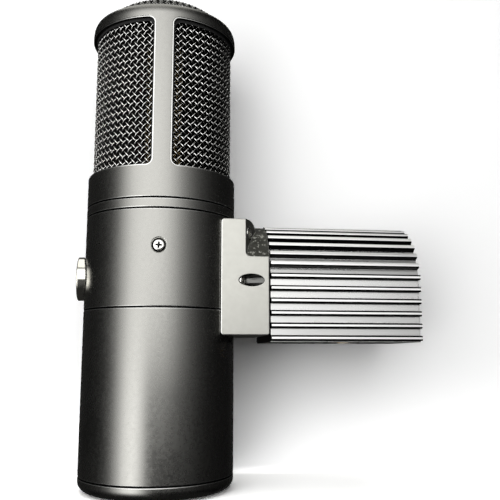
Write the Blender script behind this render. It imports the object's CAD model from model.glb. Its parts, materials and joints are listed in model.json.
# A side-address ribbon microphone with a finned swivel mount. The cylinder stands upright
# along Z, its front faces -Y, the badge is at -X, the saddle bracket and mount are at +X.
# Meshes are drawn in millimetres round the cylinder axis, then moved to the model's metres.
import json
import math
import bpy
import bmesh
import numpy as np
from mathutils import Matrix, Vector

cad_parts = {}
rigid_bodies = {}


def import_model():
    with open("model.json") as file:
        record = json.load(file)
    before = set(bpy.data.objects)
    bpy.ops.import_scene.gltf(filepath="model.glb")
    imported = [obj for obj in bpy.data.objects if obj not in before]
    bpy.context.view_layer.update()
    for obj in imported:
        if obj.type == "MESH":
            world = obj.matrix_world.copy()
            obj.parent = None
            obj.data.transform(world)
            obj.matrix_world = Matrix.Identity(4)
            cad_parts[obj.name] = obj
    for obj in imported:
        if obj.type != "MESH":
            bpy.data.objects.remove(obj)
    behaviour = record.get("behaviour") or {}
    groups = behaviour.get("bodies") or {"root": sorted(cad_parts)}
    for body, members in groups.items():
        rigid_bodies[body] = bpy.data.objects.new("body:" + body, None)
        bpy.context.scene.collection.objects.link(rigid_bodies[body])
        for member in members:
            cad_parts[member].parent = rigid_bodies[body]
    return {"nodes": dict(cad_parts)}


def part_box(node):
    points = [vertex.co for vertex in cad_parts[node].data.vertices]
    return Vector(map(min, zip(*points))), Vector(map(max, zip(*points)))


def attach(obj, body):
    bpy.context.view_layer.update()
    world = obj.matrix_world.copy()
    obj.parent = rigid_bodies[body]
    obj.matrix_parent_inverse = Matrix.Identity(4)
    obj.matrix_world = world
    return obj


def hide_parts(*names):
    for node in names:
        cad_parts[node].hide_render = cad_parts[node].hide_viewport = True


for ob in list(bpy.data.objects):
    bpy.data.objects.remove(ob, do_unlink=True)

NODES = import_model()["nodes"]
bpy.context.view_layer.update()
MIC, MOUNT = "microphone", "stand_mount"


# ------------------------------------------------------------ sizes, mm
def box_mm(node):
    return [[value * 1000 for value in corner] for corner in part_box(node)]


BOXES = {node: box_mm(node) for node in NODES}


def spans(axis, origin=0.0):
    """Low and high end of every node along one axis."""
    return {node: (lo[axis] - origin, hi[axis] - origin) for node, (lo, hi) in BOXES.items()}


AXIS_X = sum(spans(0)["lower_body_sleeve"]) / 2
X_SPAN, Y_SPAN, Z_SPAN = spans(0, AXIS_X), spans(1), spans(2)
DRAWING_TO_MODEL = Matrix.Scale(0.001, 4) @ Matrix.Translation((AXIS_X, 0, 0))


def middle_z(node):
    return sum(Z_SPAN[node]) / 2


SEGMENTS = 256                                # round the body
BODY_R = (Y_SPAN["lower_body_sleeve"][1] - Y_SPAN["lower_body_sleeve"][0]) / 2
INNER_R = BODY_R - 2.0
EDGE_R = 0.36                                 # rounding of the turned edges at the joints
PIVOT_Z = middle_z("pivot_shaft")

# body screws and badge
BODY_SCREW_Z = middle_z("body_screw_front")
BODY_SCREW_TURN = math.radians(-1.7)
BADGE_Z = middle_z("badge")
BADGE_R = (Z_SPAN["badge"][1] - Z_SPAN["badge"][0]) / 2
BADGE_FACE = -X_SPAN["badge"][0]

# head: frame with two windows between struts, and the grille inside it
HEAD_TURN = math.radians(-1.0)
HEAD_Z0, HEAD_TOP = Z_SPAN["head_frame"][0], Z_SPAN["head_frame"][1] + 0.7
WINDOW_Z0, WINDOW_Z1, WINDOW_CORNER = 111.3, 165.6, 2.3
STRUT_W = 6.7
REBATE_DEPTH, REBATE_W = 0.2, 0.36
MESH_R = Y_SPAN["grille_mesh"][1]
DOME_TOP = Z_SPAN["grille_dome"][1]
RIM_Z = DOME_TOP - 12.0

# weave
WIRE_R, WIRE_RISE = 0.165, 0.28               # wire radius, and its wave about the middle
MESH_MIDDLE_R = MESH_R - WIRE_R - WIRE_RISE
MESH_WIRES, MESH_PITCH_Z = 63, 2.70
DOME_R = (MESH_R ** 2 + (DOME_TOP - RIM_Z) ** 2) / (2 * (DOME_TOP - RIM_Z))
DOME_CENTRE_Z = DOME_TOP - DOME_R
DOME_MIDDLE_R = DOME_R - WIRE_R - WIRE_RISE
DOME_REACH = DOME_MIDDLE_R * math.asin(MESH_R / DOME_R) - 0.3
DOME_PITCH = 1.82

# saddle bracket
SADDLE_Y, SADDLE_X = Y_SPAN["mount_bracket"][1], X_SPAN["mount_bracket"][1]
SADDLE_Z0, SADDLE_Z1 = Z_SPAN["mount_bracket"][0], Z_SPAN["mount_bracket"][1] + 0.35
SADDLE_BORE_R = BODY_R + 0.2
SADDLE_CORNER = 1.2
SADDLE_LEFT = math.sqrt(SADDLE_BORE_R ** 2 - SADDLE_Y ** 2) + 0.05
NOTCH_X, NOTCH_Z, NOTCH_FILLET = 29.9, 81.2, 1.8
FLANK_ANGLE = math.radians(30)                # slant of the notch walls
FLANK_SIN, FLANK_COS = math.sin(FLANK_ANGLE), math.cos(FLANK_ANGLE)
FLANK_PLANE = NOTCH_X * FLANK_COS + SADDLE_Y * FLANK_SIN
STEP_X, STEP_R = 34.4, 3.0                    # rounded step on the outer top edge
HUB_ARC_R, HUB_OFFSET, HUB_TOP, HUB_W = 23.7, 4.34, 93.7, 17.7
ARC_Z = 72.63                                 # arc centres of hub and upper fins

# bracket screws: a lower pair aimed at the axis, an upper pair square to the notch walls
LOW_SCREW_Z, LOW_SCREW_AZIMUTH = 72.8, math.radians(29.2)
UP_SCREW_X, UP_SCREW_Y, UP_SCREW_Z = 31.95, 15.0, 90.1
SCREW_TIP, SCREW_HOLE_R = 24.6, 1.65

# finned housing
FIN_X0, FIN_X1 = X_SPAN["finned_housing"]
SIDE_Y = Y_SPAN["finned_housing"][1]
FIN_BOTTOM = Z_SPAN["finned_housing"][0]
SIDE_Z0, SIDE_PITCH, SIDE_FINS = 52.5, 4.42, 6
ARC_R, ARC_START, ARC_STEP, ARC_FINS = 23.24, 16.67, 10.6, 6
ARC_OFFSET = ARC_R - SIDE_Y
FIN_DEPTH, HALF_FIN, FIN_ROUND = 2.3, 0.95, 0.60
THREAD_X = sum(X_SPAN["thread_insert"]) / 2


# ------------------------------------------------------------ mesh tools
def revolve(profile, segments=SEGMENTS):
    """Turn (radius, z) points about Z; a profile that leaves the axis closes on itself."""
    bm = bmesh.new()
    solid = profile[0][0] == 0.0 and profile[-1][0] == 0.0
    rings = []
    for r, z in profile:
        if r == 0.0:
            rings.append([bm.verts.new((0, 0, z))])
        else:
            rings.append([bm.verts.new((r * math.cos(2 * math.pi * i / segments),
                                        r * math.sin(2 * math.pi * i / segments), z))
                          for i in range(segments)])
    pairs = list(zip(rings, rings[1:]))
    if not solid:
        pairs.append((rings[-1], rings[0]))
    for a, b in pairs:
        for i in range(segments):
            j = (i + 1) % segments
            if len(a) == 1:
                bm.faces.new((a[0], b[i], b[j]))
            elif len(b) == 1:
                bm.faces.new((a[i], b[0], a[j]))
            else:
                bm.faces.new((a[i], b[i], b[j], a[j]))
    return bm


def arc_points(centre_x, centre_y, r, start, end, steps):
    """Points on an arc; angles in degrees."""
    angles = [math.radians(start + (end - start) * i / steps) for i in range(steps + 1)]
    return [(centre_x + r * math.cos(a), centre_y + r * math.sin(a)) for a in angles]


def tube(r0, r1, z0, z1, edge=0.0):
    """Ring, its outer edges rounded when an edge radius is given."""
    if edge:
        return revolve([(r0, z0)] + arc_points(r1 - edge, z0 + edge, edge, -90, 0, 5) +
                       arc_points(r1 - edge, z1 - edge, edge, 0, 90, 5) + [(r0, z1)])
    return revolve([(r0, z0), (r1, z0), (r1, z1), (r0, z1)])


def rod(r, z0, z1, segments):
    return revolve([(0.0, z0), (r, z0), (r, z1), (0.0, z1)], segments)


def block(lo, hi):
    bm = bmesh.new()
    bmesh.ops.create_cube(bm, size=1.0)
    for v in bm.verts:
        v.co = Vector([lo[k] + (v.co[k] + 0.5) * (hi[k] - lo[k]) for k in range(3)])
    return bm


def prism(points, w0, w1, put):
    """Extrude (u, v) points from w0 to w1; put turns (u, v, w) into x, y, z."""
    bm = bmesh.new()
    near = [bm.verts.new(put(u, v, w0)) for u, v in points]
    far = [bm.verts.new(put(u, v, w1)) for u, v in points]
    for i in range(len(points)):
        j = (i + 1) % len(points)
        bm.faces.new((near[i], near[j], far[j], far[i]))
    bm.faces.new(near[::-1])
    bm.faces.new(far)
    return bm


def moved(bm, matrix):
    bmesh.ops.transform(bm, matrix=matrix, verts=bm.verts)
    return bm


def along(point, direction):
    """Matrix that lays Z along a direction through a point."""
    turn = Vector(direction).normalized().to_track_quat('Z', 'Y').to_matrix().to_4x4()
    return Matrix.Translation(Vector(point)) @ turn


def on_pivot(bm):
    """Lay a turned shape along X at the pivot's height."""
    return moved(bm, Matrix.Translation((0.0, 0.0, PIVOT_Z)) @
                 Matrix.Rotation(math.radians(90), 4, 'Y'))


def face_outward(bm):
    bmesh.ops.recalc_face_normals(bm, faces=bm.faces)
    return bm


def add_object(name, data):
    ob = bpy.data.objects.new(name, data)
    bpy.context.scene.collection.objects.link(ob)
    return ob


def sheet(name, verts, faces):
    mesh = bpy.data.meshes.new(name)
    mesh.from_pydata(verts, [], faces)
    return add_object(name, mesh)


def new_piece(name, bm):
    bmesh.ops.remove_doubles(bm, verts=bm.verts, dist=1e-4)
    bmesh.ops.dissolve_degenerate(bm, dist=1e-5, edges=bm.edges)
    face_outward(bm)
    mesh = bpy.data.meshes.new(name)
    bm.to_mesh(mesh)
    bm.free()
    return add_object(name, mesh)


def discard(ob):
    mesh = ob.data
    bpy.data.objects.remove(ob, do_unlink=True)
    bpy.data.meshes.remove(mesh)


def carve(piece, bm, operation='DIFFERENCE'):
    """Apply a boolean with a throwaway tool."""
    tool = new_piece("tool", bm)
    boolean = piece.modifiers.new("carve", 'BOOLEAN')
    boolean.operation = operation
    boolean.solver = 'EXACT'
    boolean.object = tool
    bpy.context.view_layer.update()
    depsgraph = bpy.context.evaluated_depsgraph_get()
    carved = bpy.data.meshes.new_from_object(piece.evaluated_get(depsgraph))
    piece.modifiers.remove(boolean)
    old = piece.data
    piece.data = carved
    bpy.data.meshes.remove(old)
    discard(tool)


def place(piece, materials, replaced=(), body=MIC, angle=32.0, even=True, tag=None):
    """Move to the model's metres, shade, and tell the frame; tag picks each face's material."""
    mesh = piece.data
    tags = [tag(face) for face in mesh.polygons] if tag else None
    mesh.transform(DRAWING_TO_MODEL)
    for face in mesh.polygons:
        face.use_smooth = True
    mesh.set_sharp_from_angle(angle=math.radians(angle))
    mesh.materials.clear()
    for material in materials:
        mesh.materials.append(material)
    if tags:
        mesh.polygons.foreach_set("material_index", tags)
    if even:
        normals = piece.modifiers.new("even_normals", 'WEIGHTED_NORMAL')
        normals.keep_sharp = True
        normals.weight = 100
        normals.thresh = 0.01
    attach(piece, body)
    if replaced:
        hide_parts(*replaced)


def wires(name, paths, normals, sides=6):
    """Round wires along sampled paths; the normals steer each cross-section."""
    verts, faces, first = [], [], 0
    angles = np.arange(sides) * 2 * math.pi / sides
    for path, normal in zip(paths, normals):
        tangent = np.gradient(path, axis=0)
        tangent /= np.linalg.norm(tangent, axis=1)[:, None]
        out = normal - tangent * (normal * tangent).sum(1)[:, None]
        out /= np.linalg.norm(out, axis=1)[:, None]
        across = np.cross(tangent, out)
        rings = (path[:, None, :] +
                 WIRE_R * (np.cos(angles)[None, :, None] * out[:, None, :] +
                           np.sin(angles)[None, :, None] * across[:, None, :]))
        count = len(path)
        verts.append(rings.reshape(-1, 3))
        ring = first + np.arange(count - 1)[:, None] * sides
        i = np.arange(sides)[None, :]
        j = (i + 1) % sides
        quads = np.stack([ring + i, ring + j, ring + sides + j, ring + sides + i], -1)
        faces += quads.reshape(-1, 4).tolist()
        faces.append(list(range(first + sides - 1, first - 1, -1)))
        faces.append(list(range(first + (count - 1) * sides, first + count * sides)))
        first += count * sides
    ob = sheet(name, np.concatenate(verts).tolist(), faces)
    ob.data.update()
    return ob


# ------------------------------------------------------------ shader tools
class NodeTree:
    """Short ways to add and wire nodes. Values may be sockets or constants."""

    def __init__(self, tree):
        self.tree = tree

    def new(self, kind, **settings):
        node = self.tree.nodes.new(kind)
        for key, value in settings.items():
            setattr(node, key, value)
        return node

    def put(self, socket, value):
        if isinstance(value, bpy.types.NodeSocket):
            self.tree.links.new(value, socket)
        else:
            socket.default_value = value

    def position(self):
        return self.new("ShaderNodeTexCoord").outputs["Object"]

    def coords(self, scale=(1, 1, 1)):
        position = self.position()
        mapping = self.new("ShaderNodeMapping")
        self.put(mapping.inputs["Vector"], position)
        self.put(mapping.inputs["Scale"], scale)
        return mapping.outputs["Vector"]

    def noise(self, vector, scale, detail=3.0):
        node = self.new("ShaderNodeTexNoise")
        for key, value in (("Vector", vector), ("Scale", scale), ("Detail", detail),
                           ("Roughness", 0.55)):
            self.put(node.inputs[key], value)
        return node.outputs["Fac"]

    def span(self, value, over, to=(0.0, 1.0), smooth=False):
        """Map the range 'over' onto the range 'to'."""
        kind = 'SMOOTHSTEP' if smooth else 'LINEAR'
        node = self.new("ShaderNodeMapRange", interpolation_type=kind)
        keys = ("Value", "From Min", "From Max", "To Min", "To Max")
        for key, item in zip(keys, (value, *over, *to)):
            self.put(node.inputs[key], item)
        return node.outputs["Result"]

    def calc(self, operation, *values):
        node = self.new("ShaderNodeMath", operation=operation)
        for socket, value in zip(node.inputs, values):
            self.put(socket, value)
        return node.outputs[0]

    def vector_calc(self, operation, *values):
        node = self.new("ShaderNodeVectorMath", operation=operation)
        for socket, value in zip(node.inputs, values):
            self.put(socket, value)
        return node

    def split(self, vector):
        node = self.new("ShaderNodeSeparateXYZ")
        self.put(node.inputs[0], vector)
        return node.outputs

    def mix(self, factor, first, second):
        node = self.new("ShaderNodeMix", data_type='RGBA')
        colours = [s for s in node.inputs if s.type == 'RGBA']
        self.put([s for s in node.inputs if s.type == 'VALUE'][0], factor)
        self.put(colours[0], first)
        self.put(colours[1], second)
        return [s for s in node.outputs if s.type == 'RGBA'][0]

    def mix_shaders(self, factor, first, second, output):
        node = self.new("ShaderNodeMixShader")
        for socket, value in zip(node.inputs, (factor, first.outputs[0], second.outputs[0])):
            self.put(socket, value)
        self.put(output.inputs["Surface"], node.outputs[0])


class Surface(NodeTree):
    """A material and its node tree."""

    def __init__(self, name):
        self.material = bpy.data.materials.new(name)
        self.material.use_nodes = True
        super().__init__(self.material.node_tree)
        self.principled = self.tree.nodes["Principled BSDF"]
        self.output = self.tree.nodes["Material Output"]

    def bump(self, height, strength, distance):
        node = self.new("ShaderNodeBump")
        self.put(node.inputs["Strength"], strength)
        self.put(node.inputs["Distance"], distance)
        self.put(node.inputs["Height"], height)
        return node

    def finish(self, colour, roughness, metallic, bump):
        for key, value in (("Base Color", colour), ("Roughness", roughness),
                           ("Metallic", metallic), ("Normal", bump.outputs["Normal"])):
            self.put(self.principled.inputs[key], value)


def rgba(colour, gain=1.0):
    return tuple(channel * gain for channel in colour) + (1.0,)


def grey(level):
    return (level, level, level, 1.0)


# ------------------------------------------------------------ materials
def coated(name, colour, roughness, metallic=1.0, vary=0.08, grain=3500.0, bump=0.15,
           bump_depth=0.00003, stretch=(1, 1, 1), edge_radius=0.00035,
           edge_colour=(0.85, 0.85, 0.8), edge_gain=0.8, blotch=70.0, specks=0.0):
    """Metal or paint with blotches, fine grain and lighter worn edges."""
    mat = Surface(name)
    grain_coords = mat.coords(stretch)
    large = mat.noise(mat.coords(), scale=blotch, detail=4.0)
    fine = mat.noise(grain_coords, scale=grain)
    medium = mat.noise(grain_coords, scale=grain * 0.23)
    tone = mat.mix(mat.span(large, over=(0.3, 0.7)),
                   rgba(colour, 1 - vary), rgba(colour, 1 + vary))
    tone = mat.mix(mat.span(fine, over=(0.35, 0.65)), tone, rgba(colour))
    uneven = mat.calc('ADD', mat.calc('MULTIPLY', medium, 0.6), mat.calc('MULTIPLY', large, 0.4))
    uneven = mat.span(uneven, over=(0.3, 0.7), to=(roughness - 0.05, roughness + 0.05))
    if specks:
        spots = mat.noise(mat.coords(), scale=900.0, detail=2.0)
        spots = mat.span(spots, over=(0.58, 0.58 + 0.06), to=(0.0, specks))
        tone = mat.mix(spots, tone, rgba((0.42, 0.42, 0.38)))
    height = mat.calc('ADD', fine, mat.calc('MULTIPLY', medium, 0.5))
    relief = mat.bump(height, strength=bump, distance=bump_depth)
    if edge_radius:
        # wear shows where the bevelled normal leaves the true one
        bevel = mat.new("ShaderNodeBevel", samples=4)
        mat.put(bevel.inputs["Radius"], edge_radius)
        mat.put(relief.inputs["Normal"], bevel.outputs["Normal"])
        geometry = mat.new("ShaderNodeNewGeometry")
        match = mat.vector_calc('DOT_PRODUCT', bevel.outputs["Normal"],
                                geometry.outputs["Normal"])
        wear = mat.span(match.outputs["Value"], over=(0.995, 0.90), to=(0.0, edge_gain))
        wear = mat.calc('MULTIPLY', wear, mat.span(medium, over=(0.2, 0.55), to=(0.75, 1.0)))
        tone = mat.mix(wear, tone, rgba(edge_colour))
    mat.finish(colour=tone, roughness=uneven, metallic=metallic, bump=relief)
    return mat.material


def wire_material(name, colour, roughness, bright_r, centre_z=None):
    """Drawn wire, dark in its dips. The distance in mm to the Z axis, or to a centre on it
    when centre_z is given, decides the tone."""
    mat = Surface(name)
    flat = centre_z is None
    centre = (AXIS_X / 1000, 0.0, 0.0 if flat else centre_z / 1000)
    offset = mat.vector_calc('SUBTRACT', mat.position(), centre)
    offset = mat.vector_calc('MULTIPLY', offset.outputs[0], (1.0, 1.0, 0.0 if flat else 1.0))
    distance = mat.vector_calc('LENGTH', offset.outputs[0])
    grime = mat.noise(mat.coords(), scale=900.0)
    reach = mat.calc('MULTIPLY_ADD', distance.outputs["Value"], 1000.0,
                     mat.span(grime, over=(0.3, 0.7), to=(-0.03, 0.03)))
    bright = mat.span(reach, over=(bright_r - 0.28, bright_r - 0.02), smooth=True)
    mat.finish(colour=mat.mix(bright, grey(0.006), rgba(colour)),
               roughness=mat.span(grime, over=(0.3, 0.7), to=(roughness, roughness + 0.06)),
               metallic=1.0, bump=mat.bump(grime, strength=0.1, distance=0.00002))
    return mat.material


def screen_material(name):
    """Very fine dark gauze: a tight weave that lets a little through."""
    mat = Surface(name)
    pitch, screen_r = 0.00042, 0.0244         # metres
    x, y, z = mat.split(mat.position())
    x = mat.calc('SUBTRACT', x, AXIS_X / 1000)
    around = mat.calc('MULTIPLY', mat.calc('ARCTAN2', y, x), screen_r)
    waves = [mat.calc('SINE', mat.calc('MULTIPLY', run, 2 * math.pi / pitch))
             for run in (around, z)]
    weave = mat.calc('MAXIMUM', *waves)
    dust = mat.noise(mat.coords(), scale=260.0)
    tone = mat.mix(mat.span(weave, over=(0.0, 1.0)), grey(0.001), rgba((0.006, 0.006, 0.0058)))
    tone = mat.mix(mat.span(dust, over=(0.5, 0.8), to=(0.0, 0.4)), tone,
                   rgba((0.03, 0.028, 0.025)))
    mat.finish(colour=tone, roughness=mat.span(dust, over=(0.3, 0.7), to=(0.4, 0.6)),
               metallic=1.0, bump=mat.bump(weave, strength=0.5, distance=0.00008))
    clear = mat.new("ShaderNodeBsdfTransparent")
    mat.mix_shaders(mat.span(weave, over=(0.0, 0.6), to=(0.85, 0.0)), mat.principled, clear,
                    mat.output)
    return mat.material


FINISH = {
    "gunmetal": coated("gunmetal_paint", (0.262, 0.259, 0.243), roughness=0.27, bump=0.02,
                       vary=0.05),
    "bracket": coated("bracket_paint", (0.42, 0.417, 0.385), roughness=0.34, bump=0.08,
                      vary=0.04, edge_colour=(1.0, 1.0, 0.95)),
    "cast": coated("rough_casting", (0.06, 0.06, 0.053), roughness=0.5, vary=0.5, grain=1500.0,
                   bump=0.9, bump_depth=0.00015, blotch=260.0, specks=0.8),
    "rim": coated("dome_rim_paint", (0.03, 0.03, 0.028), roughness=0.35, vary=0.1),
    "fin_tips": coated("fin_bare_tips", (0.95, 0.95, 0.94), roughness=0.35, vary=0.05,
                       grain=1500.0, bump=0.2, stretch=(0.06, 1, 1), edge_radius=0),
    "bare": coated("bare_edge", (0.62, 0.62, 0.6), roughness=0.3, grain=2500.0, edge_radius=0),
    "recess": coated("recess_shadow", (0.008, 0.008, 0.008), roughness=0.5, vary=0.2, bump=0.2,
                     edge_radius=0),
    "bore": coated("bore_machining", (0.10, 0.10, 0.095), roughness=0.22, vary=0.2,
                   stretch=(1, 1, 0.2), bump=0.3, edge_radius=0),
    "fin_sides": coated("fin_dark_sides", (0.008, 0.008, 0.008), roughness=0.4, vary=0.3,
                        grain=1500.0, bump=0.2, stretch=(0.06, 1, 1), edge_radius=0),
    "lining": coated("dome_lining_cloth", (0.01, 0.01, 0.01), roughness=0.8, metallic=0.6,
                     vary=0.4, grain=2600.0, bump=0.8, bump_depth=0.0001, edge_radius=0),
    "fins": coated("fin_alloy", (0.60, 0.60, 0.59), roughness=0.28, vary=0.06, grain=1500.0,
                   bump=0.25, stretch=(0.06, 1, 1), edge_gain=0.9, edge_colour=(1.0, 1.0, 0.98)),
    "badge": coated("polished_badge", (0.90, 0.88, 0.80), roughness=0.10, vary=0.03,
                    grain=6000.0, bump=0.05),
    "screw": coated("screw_steel", (0.78, 0.77, 0.73), roughness=0.22, grain=5000.0, bump=0.12,
                    edge_radius=0.0001),
    "brass": coated("brass_plate", (0.85, 0.62, 0.28), roughness=0.25, vary=0.12,
                    stretch=(1, 1, 0.1), bump=0.2),
    "magnet": coated("sintered_magnet", (0.24, 0.24, 0.26), roughness=0.35, vary=0.15, bump=0.2),
    "iron": coated("soft_iron", (0.38, 0.38, 0.40), roughness=0.34, vary=0.12,
                   stretch=(1, 1, 0.15), bump=0.2),
    "foil": coated("ribbon_foil", (0.88, 0.89, 0.91), roughness=0.22, vary=0.06,
                   stretch=(1, 0.1, 1), edge_radius=0, bump=0.2),
    "nylon": coated("natural_nylon", (0.62, 0.60, 0.53), roughness=0.45, metallic=0.0,
                    edge_colour=(0.75, 0.73, 0.66)),
    "plastic": coated("black_plastic", (0.02, 0.02, 0.021), roughness=0.42, metallic=0.0,
                      vary=0.25, bump=0.3, edge_colour=(0.08, 0.08, 0.08)),
    "rubber": coated("soft_rubber", (0.016, 0.016, 0.016), roughness=0.8, metallic=0.3,
                     vary=0.3, grain=1800.0, bump=0.5, edge_radius=0),
    "board": coated("board_laminate", (0.03, 0.15, 0.07), roughness=0.4, metallic=0.0, vary=0.3,
                    grain=900.0, stretch=(1, 0.2, 1), bump=0.2, edge_colour=(0.45, 0.4, 0.22)),
    "tape": coated("winding_tape", (0.55, 0.36, 0.10), roughness=0.45, metallic=0.1, vary=0.2,
                   stretch=(0.1, 0.1, 2), grain=900.0, bump=0.4, edge_radius=0),
    "red": coated("red_lead_sleeve", (0.40, 0.015, 0.015), roughness=0.4, metallic=0.0,
                  vary=0.2, edge_radius=0),
    "chassis": coated("chassis_steel", (0.50, 0.50, 0.48), roughness=0.38, vary=0.1,
                      stretch=(1, 1, 0.12), bump=0.2),
    "screen": screen_material("dark_gauze"),
}

# model pieces that keep their own mesh, by material
CARRIED = {
    "gunmetal": ["lower_mesh_ring", "upper_mesh_ring", "end_cap"],
    "screen": ["inner_screen"],
    "screw": ["xlr_shell", "pivot_shaft", "thrust_washer", "spring_washer", "lock_nut"],
    "brass": ["motor_side_front", "motor_side_rear", "xlr_pin_1", "xlr_pin_2", "xlr_pin_3",
              "thread_reducer", "thread_insert"],
    "magnet": ["magnet_front", "magnet_rear"],
    "iron": ["pole_piece_front", "pole_piece_rear", "transformer_core"],
    "foil": ["ribbon"],
    "nylon": ["ribbon_clamp_lower", "ribbon_clamp_upper", "pivot_bush_inner",
              "pivot_bush_outer"],
    "plastic": ["xlr_insert", "friction_washer"],
    "rubber": ["isolator_front", "isolator_rear"],
    "board": ["circuit_board"],
    "tape": ["transformer_winding"],
    "red": ["lead_upper", "lead_lower"],
    "chassis": ["motor_base", "motor_yoke_lower", "motor_yoke_upper", "head_deck",
                "chassis_rail_front", "chassis_rail_rear", "transformer_strap"],
}


def paint_carried():
    for key, names in CARRIED.items():
        for name in names:
            slots = NODES[name].data.materials
            if len(slots) == 0:
                slots.append(FINISH[key])
            for i in range(len(slots)):
                slots[i] = FINISH[key]


# ------------------------------------------------------------ body shell
SHELL = [FINISH["gunmetal"], FINISH["recess"], FINISH["bare"]]
PAINT, RECESS, BARE = range(3)                # slots of SHELL


def seam_tag(face):
    """Bare metal on the turned edge, shadow paint on the end faces inside the joint."""
    upward = abs(face.normal.z)
    if math.hypot(face.center.x, face.center.y) < BODY_R - EDGE_R - 0.01:
        return RECESS if upward > 0.9 else PAINT
    if upward >= 0.6:
        return RECESS
    return BARE if upward > 0.1 else PAINT


def base_cap():
    bottom, top = Z_SPAN["base_cap"]
    joint = Z_SPAN["lower_body_sleeve"][0]
    rim = joint - 0.3                         # open gap below the sleeve
    foot_r = 3.5
    cap = new_piece("base_cap_turned", revolve(
        arc_points(BODY_R - EDGE_R, rim - EDGE_R, EDGE_R, 90, 0, 5) +
        arc_points(BODY_R - foot_r, bottom + foot_r, foot_r, 0, -90, 14) +
        [(10.2, 0.0), (9.9, 0.3), (9.9, 2.6), (22.8, 2.6), (22.8, top), (25.1, top),
         (25.1, rim)]))
    place(cap, SHELL, ["base_cap"],
          tag=lambda face: seam_tag(face) if face.center.z > joint - 1.2 else PAINT)


def sleeve(name, node):
    return new_piece(name, tube(INNER_R, BODY_R, *Z_SPAN[node], edge=EDGE_R))


def place_sleeve(piece, node):
    place(piece, SHELL, [node], tag=seam_tag)


def body_screw(name, azimuth, node, upper):
    """Cross-slot screw in a countersunk well; returns its outward direction."""
    out = Vector((math.cos(azimuth), math.sin(azimuth), 0.0))
    base = Matrix(((-out.y, 0, out.x, 0), (out.x, 0, out.y, 0), (0, 1, 0, BODY_SCREW_Z),
                   (0, 0, 0, 1)))
    # (radius, height from the body surface)
    well = [(0.0, -3.0), (1.55, -3.0), (1.55, -1.3), (2.42, -1.1), (2.42, -0.42), (2.9, 0.1),
            (2.9, 1.0), (0.0, 1.0)]
    shank_and_crown = [(1.1, -1.5), (1.85, -0.9), (1.85, -0.25), (1.8, -0.13), (1.7, -0.07),
                       (1.4, 0.0), (0.0, 0.06)]
    carve(upper, moved(revolve([(r, BODY_R + h) for r, h in well], 48), base))
    profile = [(0.0, 20.2), (1.1, 20.2)] + [(r, BODY_R + h) for r, h in shank_and_crown]
    screw = new_piece(name, moved(revolve(profile, 48), base))
    for turn in (-4, 86):
        slot = block((-1.2, -0.34, BODY_R - 1.1), (1.2, 0.34, BODY_R + 1.0))
        for v in slot.verts:
            if v.co.z < BODY_R:               # slots narrow towards their floor
                v.co.x *= 0.85
                v.co.y *= 0.9
        carve(screw, moved(slot, base @ Matrix.Rotation(math.radians(turn), 4, 'Z')))

    def cross_tag(face):
        offset = face.center - Vector((0, 0, BODY_SCREW_Z))
        height = offset.dot(out)
        in_slot = BODY_R - 1.3 < height < BODY_R - 0.06 and (offset - out * height).length < 1.32
        return 1 if in_slot else 0

    place(screw, [FINISH["screw"], FINISH["recess"]], [node], tag=cross_tag)
    return out


def place_upper_sleeve(upper, well_directions):
    bottom, top = Z_SPAN["upper_body_sleeve"]

    def tag(face):
        """Recesses round the body screws, their bare countersinks, and the two seams."""
        offset = face.center - Vector((0, 0, BODY_SCREW_Z))
        for out in well_directions:
            height = offset.dot(out)
            r = (offset - out * height).length
            if height > 0 and r < 2.43 and height < BODY_R - 0.2:
                return RECESS
            if height > 0 and r < 2.95 and 0.3 < face.normal.dot(out) < 0.9:
                return BARE
        z = face.center.z
        plain = abs(offset.z) > 5 and not 40 < z < 110
        return seam_tag(face) if plain or z > top - 0.5 or z < bottom + 0.5 else PAINT

    place(upper, SHELL, ["upper_body_sleeve"], tag=tag)


def badge():
    """Blank polished medallion with a raised rim and a gently domed field."""
    face = BADGE_FACE
    field_r = BADGE_R - 1.6
    profile = ([(0.0, 22.0), (BADGE_R, 22.0)] +
               arc_points(BADGE_R - 0.45, face - 0.45, 0.45, 0, 90, 5) +
               [(BADGE_R - 1.0, face), (BADGE_R - 1.2, face - 0.1),
                (BADGE_R - 1.35, face - 0.32), (field_r, face - 0.4)] +
               [(r, face - 0.4 + 0.22 * (1 - (r / field_r) ** 2))
                for r in (5.2, 4.0, 2.8, 1.4)] +
               [(0.0, face - 0.18)])
    piece = new_piece("badge_polished",
                      moved(revolve(profile, 96), along((0, 0, BADGE_Z), (-1, 0, 0))))
    carve(piece, rod(BODY_R + 0.3, 40, 110, SEGMENTS))
    place(piece, [FINISH["badge"]], ["badge"], angle=40)


# ------------------------------------------------------------ head
def window_cutter(side, edge_x, z0, z1, corner):
    """Block from edge_x outward on one side, its corners by the strut rounded."""
    near, far = side * edge_x, 40 * side
    bm = block((min(near, far), -40, z0), (max(near, far), 40, z1))
    corners = [e for e in bm.edges if all(abs(v.co.x - near) < 0.01 for v in e.verts)
               and abs(e.verts[0].co.y - e.verts[1].co.y) > 1]
    bmesh.ops.bevel(bm, geom=corners, offset=corner, segments=10, affect='EDGES', profile=0.5)
    return moved(bm, Matrix.Rotation(HEAD_TURN, 4, 'Z'))


def head_tag(face):
    centre = face.center
    if centre.z < HEAD_Z0 + 0.5:
        return seam_tag(face)
    r = math.hypot(centre.x, centre.y)
    outward = (face.normal.x * centre.x + face.normal.y * centre.y) / r
    if WINDOW_Z0 - 1 < centre.z < WINDOW_Z1 + 1:
        if abs(r - (BODY_R - REBATE_DEPTH)) < 0.05 and outward > 0.9:
            return BARE
        if abs(outward) < 0.5 and r < BODY_R - REBATE_DEPTH:
            return RECESS
    return PAINT


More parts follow.
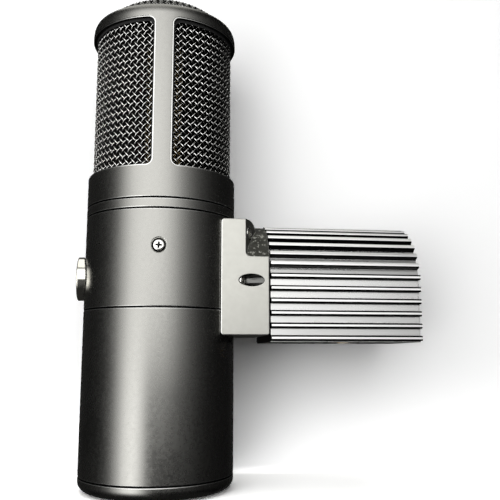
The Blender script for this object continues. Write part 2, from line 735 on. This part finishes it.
def head_frame():
    inner_r, crown = MESH_R + 0.3, 3.7
    head = new_piece("head_frame_turned", revolve(
        [(inner_r, HEAD_Z0)] +
        arc_points(BODY_R - EDGE_R, HEAD_Z0 + EDGE_R, EDGE_R, -90, 0, 5) +
        [(inner_r + (BODY_R - inner_r) * math.cos(math.radians(a)),
          HEAD_TOP - crown + crown * math.sin(math.radians(a))) for a in range(0, 91, 9)]))
    for side in (1, -1):
        carve(head, window_cutter(side, STRUT_W / 2, WINDOW_Z0, WINDOW_Z1, WINDOW_CORNER))
    # narrow bare rebate round each window's outer edge
    for side in (1, -1):
        shell = new_piece("tool_shell", tube(BODY_R - REBATE_DEPTH, BODY_R + 1.5,
                                             WINDOW_Z0 - 4, WINDOW_Z1 + 4))
        carve(shell, window_cutter(side, STRUT_W / 2 - REBATE_W, WINDOW_Z0 - REBATE_W,
                                   WINDOW_Z1 + REBATE_W, WINDOW_CORNER + REBATE_W), 'INTERSECT')
        rebate = bmesh.new()
        rebate.from_mesh(shell.data)
        discard(shell)
        carve(head, rebate)
    place(head, SHELL, ["head_frame"], tag=head_tag)


def window_gasket():
    gasket = new_piece("window_gasket",
                       tube(MESH_R + 0.05, MESH_R + 0.26, WINDOW_Z0 - 2.5, WINDOW_Z1 + 2.0))
    for side in (1, -1):
        carve(gasket, window_cutter(side, STRUT_W / 2 + 0.5, WINDOW_Z0 + 0.1, WINDOW_Z1 - 1.1,
                                    WINDOW_CORNER))
    place(gasket, [FINISH["rubber"]])


WAVE_SAMPLES = 6         # per crossing


def grille_weave():
    """Two families of wires round the head, running opposite ways, over and under."""
    z0, z1 = Z_SPAN["grille_mesh"]
    paths, normals = [], []
    for sign in (1, -1):
        for i in range(MESH_WIRES):
            steps = int((z1 - z0) / MESH_PITCH_Z * 2 * WAVE_SAMPLES)
            z = np.linspace(z0, z1, steps + 1)
            turns = z / MESH_PITCH_Z
            angle = (i - sign * turns) * 2 * math.pi / MESH_WIRES
            crossing = i - 2 * sign * turns
            r = MESH_MIDDLE_R + sign * WIRE_RISE * np.cos(math.pi * (crossing + i))
            paths.append(np.stack([r * np.cos(angle), r * np.sin(angle), z], -1))
            normals.append(np.stack([np.cos(angle), np.sin(angle), np.zeros_like(angle)], -1))
    weave = wires("grille_weave", paths, normals)
    steel = wire_material("woven_wire_steel", (0.97, 0.97, 0.94), roughness=0.05,
                          bright_r=MESH_MIDDLE_R + WIRE_R + 0.03)
    place(weave, [steel], ["grille_mesh"], angle=80, even=False)


def dome_weave():
    """A square weave pressed into the domed top, turned 45 degrees."""
    paths, normals = [], []
    wires_each_way = int(DOME_REACH / DOME_PITCH)
    centre = np.array([0, 0, DOME_CENTRE_Z])
    for family in (0, 1):
        for i in range(-wires_each_way, wires_each_way + 1):
            offset = i * DOME_PITCH
            reach = math.sqrt(max(0.0, DOME_REACH ** 2 - offset ** 2))
            if reach < 1.0:
                continue
            steps = max(6, int(2 * reach / DOME_PITCH * WAVE_SAMPLES))
            run = np.linspace(-reach, reach, steps + 1)
            still = np.full_like(run, offset)
            a, b = (still, run) if family == 0 else (run, still)
            lift = (1 if family == 0 else -1) * WIRE_RISE * np.cos(
                math.pi * (run / DOME_PITCH + i))
            tilt = np.sqrt(a * a + b * b) / DOME_MIDDLE_R
            around = np.arctan2(b, a) + math.radians(45)
            out = np.stack([np.sin(tilt) * np.cos(around), np.sin(tilt) * np.sin(around),
                            np.cos(tilt)], -1)
            paths.append(centre + out * (DOME_MIDDLE_R + lift)[:, None])
            normals.append(out)
    weave = wires("dome_weave", paths, normals)
    steel = wire_material("dome_wire_steel", (0.45, 0.45, 0.43), roughness=0.12,
                          bright_r=DOME_MIDDLE_R + WIRE_R + 0.14, centre_z=DOME_CENTRE_Z)
    place(weave, [steel], ["grille_dome"], angle=80, even=False)


def dome_rim():
    rim = new_piece("dome_rim", revolve(
        arc_points(MESH_R - 0.75, RIM_Z + 0.1, 0.62, -60, 180, 10) +
        [(MESH_R - 1.37, 168.0), (MESH_R - 0.2, 168.0)]))
    place(rim, [FINISH["rim"]])


def dome_lining():
    outer_r, thickness = DOME_R - 1.5, 0.4
    half = math.degrees(math.asin((MESH_R - 1.6) / outer_r))

    def cap_arc(r):
        points = arc_points(0.0, DOME_CENTRE_Z, r, 90 - half, 90, 12)
        points[-1] = (0.0, points[-1][1])     # exactly on the axis
        return points

    profile = cap_arc(outer_r - thickness)[::-1] + cap_arc(outer_r)
    lining = new_piece("dome_lining", revolve(profile, 96))
    place(lining, [FINISH["lining"]], angle=60)


# ------------------------------------------------------------ saddle bracket
def saddle_plate():
    """The block seen from the front, rounded at its corners and along its outline."""
    corner, outer = SADDLE_CORNER, 0.8
    outline = (
        arc_points(SADDLE_LEFT + corner, SADDLE_Z0 + corner, corner, 180, 270, 8) +
        arc_points(SADDLE_X - outer, SADDLE_Z0 + outer, outer, 270, 360, 6) +
        arc_points(SADDLE_X - outer, SADDLE_Z1 - outer, outer, 0, 90, 6) +
        arc_points(SADDLE_LEFT + corner, SADDLE_Z1 - corner, corner, 90, 180, 8))
    plate = face_outward(prism(outline, -SADDLE_Y, SADDLE_Y, lambda u, v, w: (u, w, v)))
    rims = [e for e in plate.edges if abs(e.verts[0].co.y - e.verts[1].co.y) < 1e-4]
    bmesh.ops.bevel(plate, geom=rims, offset=0.4, segments=3, affect='EDGES', profile=0.5)
    return new_piece("saddle_bracket", plate)


def cut_notch(bracket, side):
    """Slanted notch above NOTCH_Z at the -Y or +Y side."""
    length, clear, far_x = 26, 3, 60
    far_y = SADDLE_Y - FLANK_COS * length
    plan = [(NOTCH_X - FLANK_SIN * clear, SADDLE_Y + FLANK_COS * clear),
            (NOTCH_X + FLANK_SIN * length, far_y), (far_x, far_y),
            (far_x, SADDLE_Y + FLANK_COS * clear)]
    plan = [(u, v * side) for u, v in plan]
    carve(bracket, face_outward(prism(plan, NOTCH_Z, SADDLE_Z1 + 6, lambda u, v, w: (u, v, w))))


def fill_notch_foot(bracket, side):
    """Round fillet where the notch wall meets its floor."""
    fillet, sunk = NOTCH_FILLET, 0.3
    section = [(-sunk, NOTCH_Z - sunk), (fillet, NOTCH_Z - sunk)] + [
        (fillet - fillet * math.sin(math.radians(a)),
         NOTCH_Z + fillet - fillet * math.cos(math.radians(a)))
        for a in range(0, 91, 10)] + [(-sunk, NOTCH_Z + fillet)]

    def put(u, v, w):
        run = u * FLANK_SIN / FLANK_COS if w == 0 else 11.0
        return (NOTCH_X + u * FLANK_COS + run * FLANK_SIN,
                (SADDLE_Y + u * FLANK_SIN - run * FLANK_COS) * side, v)

    carve(bracket, prism(section, 0, 1, put), 'UNION')


def cut_step(bracket):
    clear, far_x, floor = 3, 60, NOTCH_Z + 0.5
    outline = ([(STEP_X, floor)] +
               arc_points(STEP_X - STEP_R, SADDLE_Z1 - STEP_R, STEP_R, 0, 90, 12) +
               [(STEP_X - STEP_R, SADDLE_Z1 + clear), (far_x, SADDLE_Z1 + clear),
                (far_x, floor)])
    carve(bracket, prism(outline, -30, 30, lambda u, v, w: (u, w, v)))


def add_hub(bracket):
    """Raised hub whose sides follow two arcs to a flat top."""
    start_z = NOTCH_Z + 0.1
    edge = [(HUB_W, NOTCH_Z - 3.0)]
    for i in range(25):
        z = NOTCH_Z + 0.1 + (HUB_TOP - NOTCH_Z - 0.1) * i / 24
        edge.append((min(HUB_W, math.sqrt(HUB_ARC_R ** 2 - (z - ARC_Z) ** 2) - HUB_OFFSET), z))
    outline = edge + [(-y, z) for y, z in edge[::-1]]
    carve(bracket, prism(outline, 29.5, SADDLE_X, lambda u, v, w: (w, u, v)), 'UNION')


def bracket_screw(bracket, upper, number, point, direction, head_r, bore_r, seat, mouth):
    """Socket screw in its bore; seat and mouth are distances from the point.
    Returns the bore as point, direction and radius."""
    base = along(point, direction)
    bore = [(0.0, SCREW_TIP), (SCREW_HOLE_R, SCREW_TIP), (SCREW_HOLE_R, seat), (bore_r, seat),
            (bore_r, mouth), (0.0, mouth)]
    carve(bracket, moved(revolve(bore, 48), base))
    carve(upper, moved(rod(SCREW_HOLE_R, SCREW_TIP - 4.0, SCREW_TIP + 3.0, 24), base))
    top = seat + 2.4
    profile = ([(0.0, SCREW_TIP - 0.2), (1.3, SCREW_TIP - 0.2), (1.3, seat + 0.3),
                (head_r, seat + 0.3)] + arc_points(head_r - 0.35, top - 0.35, 0.35, 0, 90, 4) +
               [(1.35, top), (1.2, top - 0.12), (0.0, top - 0.12)])
    screw = new_piece("clamp_screw_%d" % number, moved(revolve(profile, 48), base))
    carve(screw, moved(rod(1.12, seat + 1.2, seat + 4.0, 6), base))
    place(screw, [FINISH["screw"]], ["bracket_screw_%d" % number])
    return Vector(point), Vector(direction), bore_r


def bracket_screws(bracket, upper):
    bores = []
    for number, side in ((1, -1), (3, 1)):
        aim = (math.cos(LOW_SCREW_AZIMUTH), math.sin(LOW_SCREW_AZIMUTH) * side, 0.0)
        bores.append(bracket_screw(bracket, upper, number, (0, 0, LOW_SCREW_Z), aim,
                                   head_r=1.95, bore_r=2.25, seat=31.2, mouth=46.0))
        aim = (FLANK_COS, FLANK_SIN * side, 0.0)
        point = (UP_SCREW_X - aim[0] * FLANK_PLANE, UP_SCREW_Y * side - aim[1] * FLANK_PLANE,
                 UP_SCREW_Z)
        bores.append(bracket_screw(bracket, upper, number + 1, point, aim, head_r=2.15,
                                   bore_r=2.45, seat=FLANK_PLANE - 2.5,
                                   mouth=FLANK_PLANE + 6.0))
    return bores


def in_bore(centre, normal, bores):
    for point, direction, r in bores:
        offset = centre - point
        away = (offset - direction * offset.dot(direction)).length
        if away < r + 0.02 and abs(normal.dot(direction)) < 0.2:
            return True
    return False


def saddle_bracket(upper):
    bracket = saddle_plate()
    for side in (-1, 1):
        cut_notch(bracket, side)
    for side in (-1, 1):
        fill_notch_foot(bracket, side)
    cut_step(bracket)
    add_hub(bracket)
    carve(bracket, rod(SADDLE_BORE_R, 30, 120, SEGMENTS))
    carve(bracket, on_pivot(rod(5.0, 31.5, 45.0, 48)))
    bores = bracket_screws(bracket, upper)
    painted, cast, machined, bare, recess = range(5)

    def tag(face):
        centre, normal = face.center, face.normal
        on_rim = abs(centre.y) > SADDLE_Y - 0.45 and 0.25 < abs(normal.y) < 0.97
        if on_rim and (normal.x < -0.2 or normal.z < -0.2):
            return bare
        if normal.x < -0.7 and centre.x < SADDLE_LEFT + 0.4:
            return recess                     # against the body
        if normal.x > 0.9 and centre.x > SADDLE_X - 0.1:
            return recess                     # against the housing
        if in_bore(centre, normal, bores):
            return machined
        on_hub = (NOTCH_Z - 0.05 < centre.z < HUB_TOP + 0.1 and 29.8 < centre.x < SADDLE_X - 0.01
                  and abs(centre.y) < HUB_W + 0.05)
        on_flank = abs(abs(normal.y) - FLANK_SIN) < 0.02 and abs(normal.z) < 0.02
        return cast if on_hub and not on_flank and abs(normal.x) < 0.3 else painted

    place(bracket, [FINISH[key] for key in ("bracket", "cast", "bore", "bare", "recess")],
          ["mount_bracket"], tag=tag)


# ------------------------------------------------------------ finned housing
def fin_outline():
    """(y, z) outline seen along X: fins up one side, over the arcs and down the other."""
    points = []
    corner = [(math.sin(math.radians(a)), math.cos(math.radians(a)))
              for a in (0, 22.5, 45, 67.5, 90)]
    # (outward from the tip, along the outline)
    profile = [(-FIN_DEPTH, -HALF_FIN - 0.12), (-FIN_DEPTH + 0.12, -HALF_FIN)]
    profile += [(-FIN_ROUND * (1 - s), -HALF_FIN + FIN_ROUND * (1 - c)) for s, c in corner]
    profile += [(-FIN_ROUND * (1 - s), HALF_FIN - FIN_ROUND * (1 - c)) for s, c in corner[::-1]]
    profile += [(-FIN_DEPTH + 0.12, HALF_FIN), (-FIN_DEPTH, HALF_FIN + 0.12)]

    def fin(y, z, out_y, out_z, along_y, along_z):
        for o, k in profile:
            points.append((y + out_y * o + along_y * k, z + out_z * o + along_z * k))

    arc = [(math.cos(a), math.sin(a)) for a in
           [math.radians(ARC_START + ARC_STEP * k) for k in range(ARC_FINS)]]
    for k in range(SIDE_FINS):
        fin(SIDE_Y, SIDE_Z0 + SIDE_PITCH * k, 1, 0, 0, 1)
    for c, s in arc:
        fin(-ARC_OFFSET + ARC_R * c, ARC_Z + ARC_R * s, c, s, -s, c)
    fin(0.0, ARC_Z + math.sqrt(ARC_R ** 2 - ARC_OFFSET ** 2), 0, 1, -1, 0)
    for c, s in arc[::-1]:
        fin(ARC_OFFSET - ARC_R * c, ARC_Z + ARC_R * s, -c, s, -s, -c)
    for k in reversed(range(SIDE_FINS)):
        fin(-SIDE_Y, SIDE_Z0 + SIDE_PITCH * k, -1, 0, 0, -1)
    return [(SIDE_Y - FIN_DEPTH, FIN_BOTTOM)] + points + [(-SIDE_Y + FIN_DEPTH, FIN_BOTTOM)]


def housing_tag(face):
    """Bare tips, dark fin sides, and the shadowed face towards the bracket."""
    alloy, fin_side, fin_tip, recess = range(4)
    centre, normal = face.center, face.normal
    if abs(normal.x) >= 0.3 or centre.z <= FIN_BOTTOM + 0.05:
        return recess if normal.x < -0.9 and centre.x < FIN_X0 + 0.1 else alloy
    side = 1 if centre.y > 0 else -1
    straight = centre.z < ARC_Z + 4.2
    top_fin = abs(centre.y) < 1.6
    if straight:
        out = Vector((0, side, 0))
    elif top_fin:
        out = Vector((0, 0, 1))
    else:
        out = Vector((0, centre.y + side * ARC_OFFSET, centre.z - ARC_Z)).normalized()
    outward = normal.dot(out)
    from_pivot = math.hypot(centre.y, centre.z - PIVOT_Z)
    from_arc = math.hypot(centre.y + side * ARC_OFFSET, centre.z - ARC_Z)
    side_tip = straight and abs(centre.y) > SIDE_Y - FIN_ROUND - 0.05
    if outward < (0.985 if side_tip else 0.90) and from_pivot > 15.0:
        rounding = from_arc > ARC_R - 1.0 or (top_fin and from_pivot > 19.0)
        lit = not straight and rounding and normal.y * side > 0.3 and -0.15 < normal.z < 0.85
        return fin_tip if lit and outward > 0.5 else fin_side
    if straight:
        on_tip = abs(centre.y) > SIDE_Y - 0.3
    else:
        on_tip = from_arc > ARC_R - 0.4 or (top_fin and from_pivot > 19.5)
    return fin_tip if on_tip else alloy


def finned_housing():
    housing = new_piece("finned_housing_milled",
                        prism(fin_outline(), FIN_X0, FIN_X1, lambda u, v, w: (w, u, v)))
    # (radius, x): the pivot bore, wide at both ends
    wide, narrow, inner_seat, outer_seat = 12.3, 7.4, FIN_X0 + 1.6, 85.3
    carve(housing, on_pivot(revolve(
        [(0.0, 36.0), (wide, 36.0), (wide, inner_seat), (narrow, inner_seat),
         (narrow, outer_seat), (wide, outer_seat), (wide, 98.0), (0.0, 98.0)], 64)))
    carve(housing, moved(rod(10.3, 45.0, 64.5, 64), Matrix.Translation((THREAD_X, 0, 0))))
    place(housing, [FINISH[key] for key in ("fins", "fin_sides", "fin_tips", "recess")],
          ["finned_housing"], body=MOUNT, tag=housing_tag)


# ------------------------------------------------------------ camera, metres
CAMERA_AZIMUTH, CAMERA_RISE = math.radians(7.7), math.radians(8.97)


def add_camera():
    camera = add_object("camera", bpy.data.cameras.new("camera"))
    sin_az, cos_az = math.sin(CAMERA_AZIMUTH), math.cos(CAMERA_AZIMUTH)
    forward = Vector((sin_az * math.cos(CAMERA_RISE), cos_az * math.cos(CAMERA_RISE),
                      math.sin(CAMERA_RISE)))
    right = Vector((cos_az, -sin_az, 0))
    turn = Matrix((right, right.cross(forward), -forward)).transposed()
    camera.matrix_world = (Matrix.Translation((AXIS_X / 1000, -0.2506, 0.0465)) @
                           turn.to_4x4())
    camera.data.lens, camera.data.sensor_width = 47.98, 36.0
    camera.data.clip_start, camera.data.clip_end = 0.01, 20.0
    bpy.context.scene.camera = camera
    return camera


# ------------------------------------------------------------ light
DIFFUSER_R, DIFFUSER_HALF = 0.8, 135          # metres; half width in degrees
# (degrees round from the middle, brightness) above and below the diffuser's horizon
GLOW_ABOVE = [
    (-135, .006), (-119, .005), (-93, .009), (-80, .025), (-68, .10), (-54, .37), (-42, .62),
    (-26, .69), (-8, .69), (5, .62), (18, .42), (32, .19), (47, .07), (62, .025), (80, .008),
    (103, .004), (135, .004)]
GLOW_BELOW = [
    (-135, .004), (-110, .004), (-93, .005), (-80, .015), (-70, .06), (-58, .30), (-46, .78),
    (-32, .94), (-22, .52), (-13, .03), (-4, .003), (6, .003), (20, .005), (35, .010),
    (48, .012), (62, .005), (135, .003)]


def glow_ramp(mat, around, stops):
    node = mat.new("ShaderNodeValToRGB")
    ramp = node.color_ramp
    ramp.interpolation = 'EASE'
    places = [(a + DIFFUSER_HALF) / (2 * DIFFUSER_HALF) for a, _ in stops]
    for position in places[1:-1]:
        ramp.elements.new(position)
    for element, position, (_, level) in zip(ramp.elements, places, stops):
        element.position = position
        element.color = grey(level)
    mat.put(node.inputs[0], around)
    return node.outputs[0]


def diffuser_material():
    mat = Surface("diffuser_glow")
    mat.tree.nodes.remove(mat.principled)
    x, y, z = mat.split(mat.position())
    around = mat.calc('DIVIDE', mat.calc('ARCTAN2', x, mat.calc('MULTIPLY', y, -1.0)),
                      math.radians(2 * DIFFUSER_HALF))
    around = mat.calc('ADD', around, 0.5)
    flat_r = mat.calc('SQRT', mat.calc('ADD', mat.calc('MULTIPLY', x, x),
                                       mat.calc('MULTIPLY', y, y)))
    elevation = mat.calc('MULTIPLY', mat.calc('ARCTAN2', z, flat_r), 180 / math.pi)
    glow = mat.mix(mat.span(elevation, over=(-9.5, -0.5), smooth=True),
                   glow_ramp(mat, around, GLOW_BELOW), glow_ramp(mat, around, GLOW_ABOVE))
    fade = mat.calc('MULTIPLY',
                    mat.span(elevation, over=(28.0, 56.0), to=(1.0, 0.08), smooth=True),
                    mat.span(elevation, over=(-46.0, -18.0), to=(0.2, 1.0), smooth=True))
    emission = mat.new("ShaderNodeEmission")
    brightness = 3.9
    mat.put(emission.inputs["Color"], glow)
    mat.put(emission.inputs["Strength"], mat.calc('MULTIPLY', fade, brightness))
    mat.put(mat.output.inputs["Surface"], emission.outputs[0])
    return mat.material


def add_diffuser(camera):
    """One large curved diffuser in front; it turns round the object with the camera."""
    columns, rows = 54, 26
    verts, faces = [], []
    for j in range(rows + 1):
        e = math.radians(-48 + 104 * j / rows)
        for i in range(columns + 1):
            a = math.radians(-DIFFUSER_HALF + 2 * DIFFUSER_HALF * i / columns)
            verts.append((DIFFUSER_R * math.sin(a) * math.cos(e),
                          -DIFFUSER_R * math.cos(a) * math.cos(e), DIFFUSER_R * math.sin(e)))
    for j in range(rows):
        for i in range(columns):
            k = j * (columns + 1) + i
            faces.append((k, k + 1, k + columns + 2, k + columns + 1))
    card = sheet("diffuser", verts, faces)
    card.location = (AXIS_X / 1000, 0, 0.09)
    card.rotation_euler = (0, 0, CAMERA_AZIMUTH)
    follow = card.constraints.new('COPY_ROTATION')
    follow.target = camera
    follow.use_x = follow.use_y = False
    follow.mix_mode = 'ADD'
    card.data.materials.append(diffuser_material())
    card.visible_camera = False
    card.visible_shadow = False


def add_world():
    """White for the camera; for reflections nearly black with a bright patch overhead."""
    world = bpy.data.worlds.new("studio")
    bpy.context.scene.world = world
    world.use_nodes = True
    sky = NodeTree(world.node_tree)
    reflected = sky.tree.nodes["Background"]
    x, _, z = sky.split(sky.new("ShaderNodeTexCoord").outputs["Generated"])
    height = sky.calc('MULTIPLY_ADD', x, -0.2, z)
    sky.put(reflected.inputs["Strength"],
            sky.span(height, over=(0.72, 0.93), to=(0.02, 1.2), smooth=True))
    sky.put(reflected.inputs["Color"], (1.0, 1.0, 0.97, 1))
    white = sky.new("ShaderNodeBackground")
    sky.put(white.inputs["Color"], grey(1.0))
    rays = sky.new("ShaderNodeLightPath")
    sky.mix_shaders(rays.outputs["Is Camera Ray"], reflected, white,
                    sky.tree.nodes["World Output"])


# ------------------------------------------------------------ floor and backdrop
def floor_material():
    mat = Surface("pale_floor")
    mat.tree.nodes.remove(mat.principled)
    diffuse = mat.new("ShaderNodeBsdfDiffuse")
    wall_level = 1.14
    shape = mat.new("ShaderNodeNewGeometry")
    upward = mat.split(shape.outputs["Normal"])[2]
    bright = mat.span(upward, over=(0.0, 1.0), to=(wall_level, wall_level * 1.5))
    height = mat.split(shape.outputs["Position"])[2]
    bright = mat.calc('MULTIPLY', bright,
                      mat.span(height, over=(0.0, 0.05), to=(1.3, 1.0), smooth=True))
    cloud = mat.noise(mat.coords(), scale=30.0)
    bright = mat.calc('MULTIPLY', bright, mat.span(cloud, over=(0.3, 0.7), to=(1.0, 1.02)))
    colour = mat.new("ShaderNodeCombineColor")
    for i in range(3):
        mat.put(colour.inputs[i], bright)
    mat.put(diffuse.inputs["Color"], colour.outputs[0])
    clear = mat.new("ShaderNodeBsdfTransparent")
    view = mat.new("ShaderNodeNewGeometry")
    # the upright part fades out when it is not looked at from the front
    frontal = mat.calc('MULTIPLY', mat.split(view.outputs["Incoming"])[1], -1.0)
    hidden = mat.span(frontal, over=(0.74, 0.84), to=(1.0, 0.0), smooth=True)
    hidden = mat.calc('MULTIPLY', hidden, mat.calc('LESS_THAN', upward, 0.99))
    mat.mix_shaders(mat.calc('MAXIMUM', view.outputs["Backfacing"], hidden), diffuse, clear,
                    mat.output)
    return mat.material


def add_floor():
    """An upright backdrop with a small cove at its foot, and a level floor."""
    back_y = (Y_SPAN["lower_body_sleeve"][1] + 0.4) / 1000
    cove_r, cove_z, floor_z = 0.003, -0.0006, -0.0007
    line = [(back_y - cove_r + cove_r * math.sin(t), cove_z + cove_r - cove_r * math.cos(t))
            for t in [math.radians(9 * i) for i in range(11)]]
    line.append((back_y, 0.42))
    verts = [(x, y, z) for y, z in line for x in (-0.45, 0.45)]
    faces = [(2 * i, 2 * i + 1, 2 * i + 3, 2 * i + 2) for i in range(len(line) - 1)]
    sweep = sheet("floor_sweep", verts, faces)
    for face in sweep.data.polygons:
        face.use_smooth = True
    floor = sheet("floor_plane", [(-0.9, -0.9, floor_z), (1.0, -0.9, floor_z),
                                  (1.0, 0.9, floor_z), (-0.9, 0.9, floor_z)], [(0, 1, 2, 3)])
    material = floor_material()
    for ob in (sweep, floor):
        ob.data.materials.append(material)
        ob.visible_glossy = False
        ob.visible_diffuse = False
        ob.visible_transmission = False
        ob.visible_shadow = False


# ------------------------------------------------------------ build
paint_carried()
base_cap()
place_sleeve(sleeve("lower_sleeve_turned", "lower_body_sleeve"), "lower_body_sleeve")
upper_sleeve = sleeve("upper_sleeve_turned", "upper_body_sleeve")
place_sleeve(sleeve("collar_ring_turned", "collar_ring"), "collar_ring")
wells = [body_screw("body_screw_%s_turned" % end, quarter * math.pi / 2 + BODY_SCREW_TURN,
                    "body_screw_%s" % end, upper_sleeve)
         for end, quarter in (("front", -1), ("rear", 1))]
badge()
head_frame()
window_gasket()
grille_weave()
dome_weave()
dome_rim()
dome_lining()
saddle_bracket(upper_sleeve)
place_upper_sleeve(upper_sleeve, wells)
finned_housing()
add_diffuser(add_camera())
add_world()
add_floor()

view = bpy.context.scene.view_settings
view.view_transform = 'Standard'
view.look = 'None'

bpy.context.view_layer.update()
